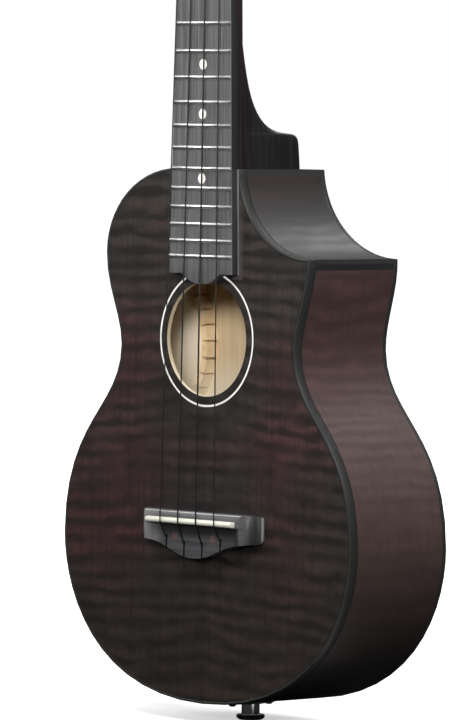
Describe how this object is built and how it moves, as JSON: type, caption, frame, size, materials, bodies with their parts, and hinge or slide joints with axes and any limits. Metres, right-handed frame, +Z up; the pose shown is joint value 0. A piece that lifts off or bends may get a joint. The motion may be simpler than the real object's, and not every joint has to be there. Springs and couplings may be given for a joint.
{
  "type": "ukulele",
  "caption": "Four-string tenor ukulele with cutaway body, round soundhole, end-pin jack and geared tuners.",
  "frame": {"origin": "on the output jack axis, in the plane where it leaves the tail of the body", "axes": "+Z up the neck, -Y out of the soundboard, +X towards the cutaway side"},
  "size_m": [0.2298, 0.0875, 0.6747],
  "materials": {
    "flamed_top": "satin translucent stain over flamed figure",
    "side_wood": "satin stain",
    "black_binding": "satin",
    "white_purfling": "gloss",
    "lining_wood": "raw",
    "brace_wood": "raw",
    "block_wood": "raw",
    "plain_steel": "satin",
    "brass": "satin",
    "neck_wood": "satin stain",
    "veneer_wood": "satin",
    "fretboard_wood": "oiled",
    "fret_metal": "polished",
    "pearl": "polished",
    "bone": "polished",
    "nylon": "smooth",
    "cable": "matt",
    "chrome": "polished",
    "button_plastic": "gloss"
  },
  "bodies": {
    "instrument": {"soundboard": "flamed_top", "rosette_white": "white_purfling", "rosette_black": "black_binding", "back": "flamed_top", "side_bass": "side_wood", "side_treble": "side_wood", "side_cutaway": "side_wood", "tail_strip": "black_binding", "cutaway_strips": "black_binding", "binding_top": "black_binding", "binding_back": "black_binding", "lining_top": "lining_wood", "lining_back": "lining_wood", "top_braces": "brace_wood", "bridge_plate": "brace_wood", "back_braces": "brace_wood", "neck_block": "block_wood", "tail_block": "block_wood", "neck_bolt": "plain_steel", "neck_insert": "brass", "neck": "neck_wood", "headstock": "neck_wood", "head_veneer": "veneer_wood", "fretboard": "fretboard_wood", "frets": "fret_metal", "position_dots": "pearl", "nut": "bone", "string_g": "nylon", "string_c": "nylon", "string_e": "nylon", "string_a": "nylon", "bridge": "fretboard_wood", "saddle": "bone", "pickup_strip": "brass", "bridge_inlays": "pearl", "pickup_lead": "cable", "jack_barrel": "chrome", "strap_button": "chrome", "jack_nut": "chrome", "jack_plate": "chrome", "jack_screws": "plain_steel", "bushings": "chrome", "tuner_plates": "chrome", "plate_screws": "plain_steel"},
    "worm_g": {"worm_g": "chrome", "button_g": "button_plastic"},
    "roller_g": {"post_g": "chrome", "gear_g": "brass"},
    "worm_c": {"worm_c": "chrome", "button_c": "button_plastic"},
    "roller_c": {"post_c": "chrome", "gear_c": "brass"},
    "worm_e": {"worm_e": "chrome", "button_e": "button_plastic"},
    "roller_e": {"post_e": "chrome", "gear_e": "brass"},
    "worm_a": {"worm_a": "chrome", "button_a": "button_plastic"},
    "roller_a": {"post_a": "chrome", "gear_a": "brass"}
  },
  "joints": [
    {"name": "button_turn_g", "type": "hinge", "parent": "instrument", "child": "worm_g", "pos_m": [-0.018, -0.00942, 0.57876], "axis": [-1, 0, 0], "continuous": true},
    {"name": "post_turn_g", "type": "hinge", "parent": "instrument", "child": "roller_g", "pos_m": [-0.018, -0.02781, 0.57487], "axis": [0, -0.9703, 0.2419], "continuous": true},
    {"name": "button_turn_c", "type": "hinge", "parent": "instrument", "child": "worm_c", "pos_m": [-0.018, 0.00074, 0.61951], "axis": [-1, 0, 0], "continuous": true},
    {"name": "post_turn_c", "type": "hinge", "parent": "instrument", "child": "roller_c", "pos_m": [-0.018, -0.01765, 0.61562], "axis": [0, -0.9703, 0.2419], "continuous": true},
    {"name": "button_turn_e", "type": "hinge", "parent": "instrument", "child": "worm_e", "pos_m": [0.018, 0.00074, 0.61951], "axis": [1, 0, 0], "continuous": true},
    {"name": "post_turn_e", "type": "hinge", "parent": "instrument", "child": "roller_e", "pos_m": [0.018, -0.01765, 0.61562], "axis": [0, -0.9703, 0.2419], "continuous": true},
    {"name": "button_turn_a", "type": "hinge", "parent": "instrument", "child": "worm_a", "pos_m": [0.018, -0.00942, 0.57876], "axis": [1, 0, 0], "continuous": true},
    {"name": "post_turn_a", "type": "hinge", "parent": "instrument", "child": "roller_a", "pos_m": [0.018, -0.02781, 0.57487], "axis": [0, -0.9703, 0.2419], "continuous": true}
  ],
  "couplings": [
    {"joint": "post_turn_g", "follows": "button_turn_g", "ratio": -0.071429},
    {"joint": "post_turn_c", "follows": "button_turn_c", "ratio": -0.071429},
    {"joint": "post_turn_e", "follows": "button_turn_e", "ratio": 0.071429},
    {"joint": "post_turn_a", "follows": "button_turn_a", "ratio": 0.071429}
  ]
}
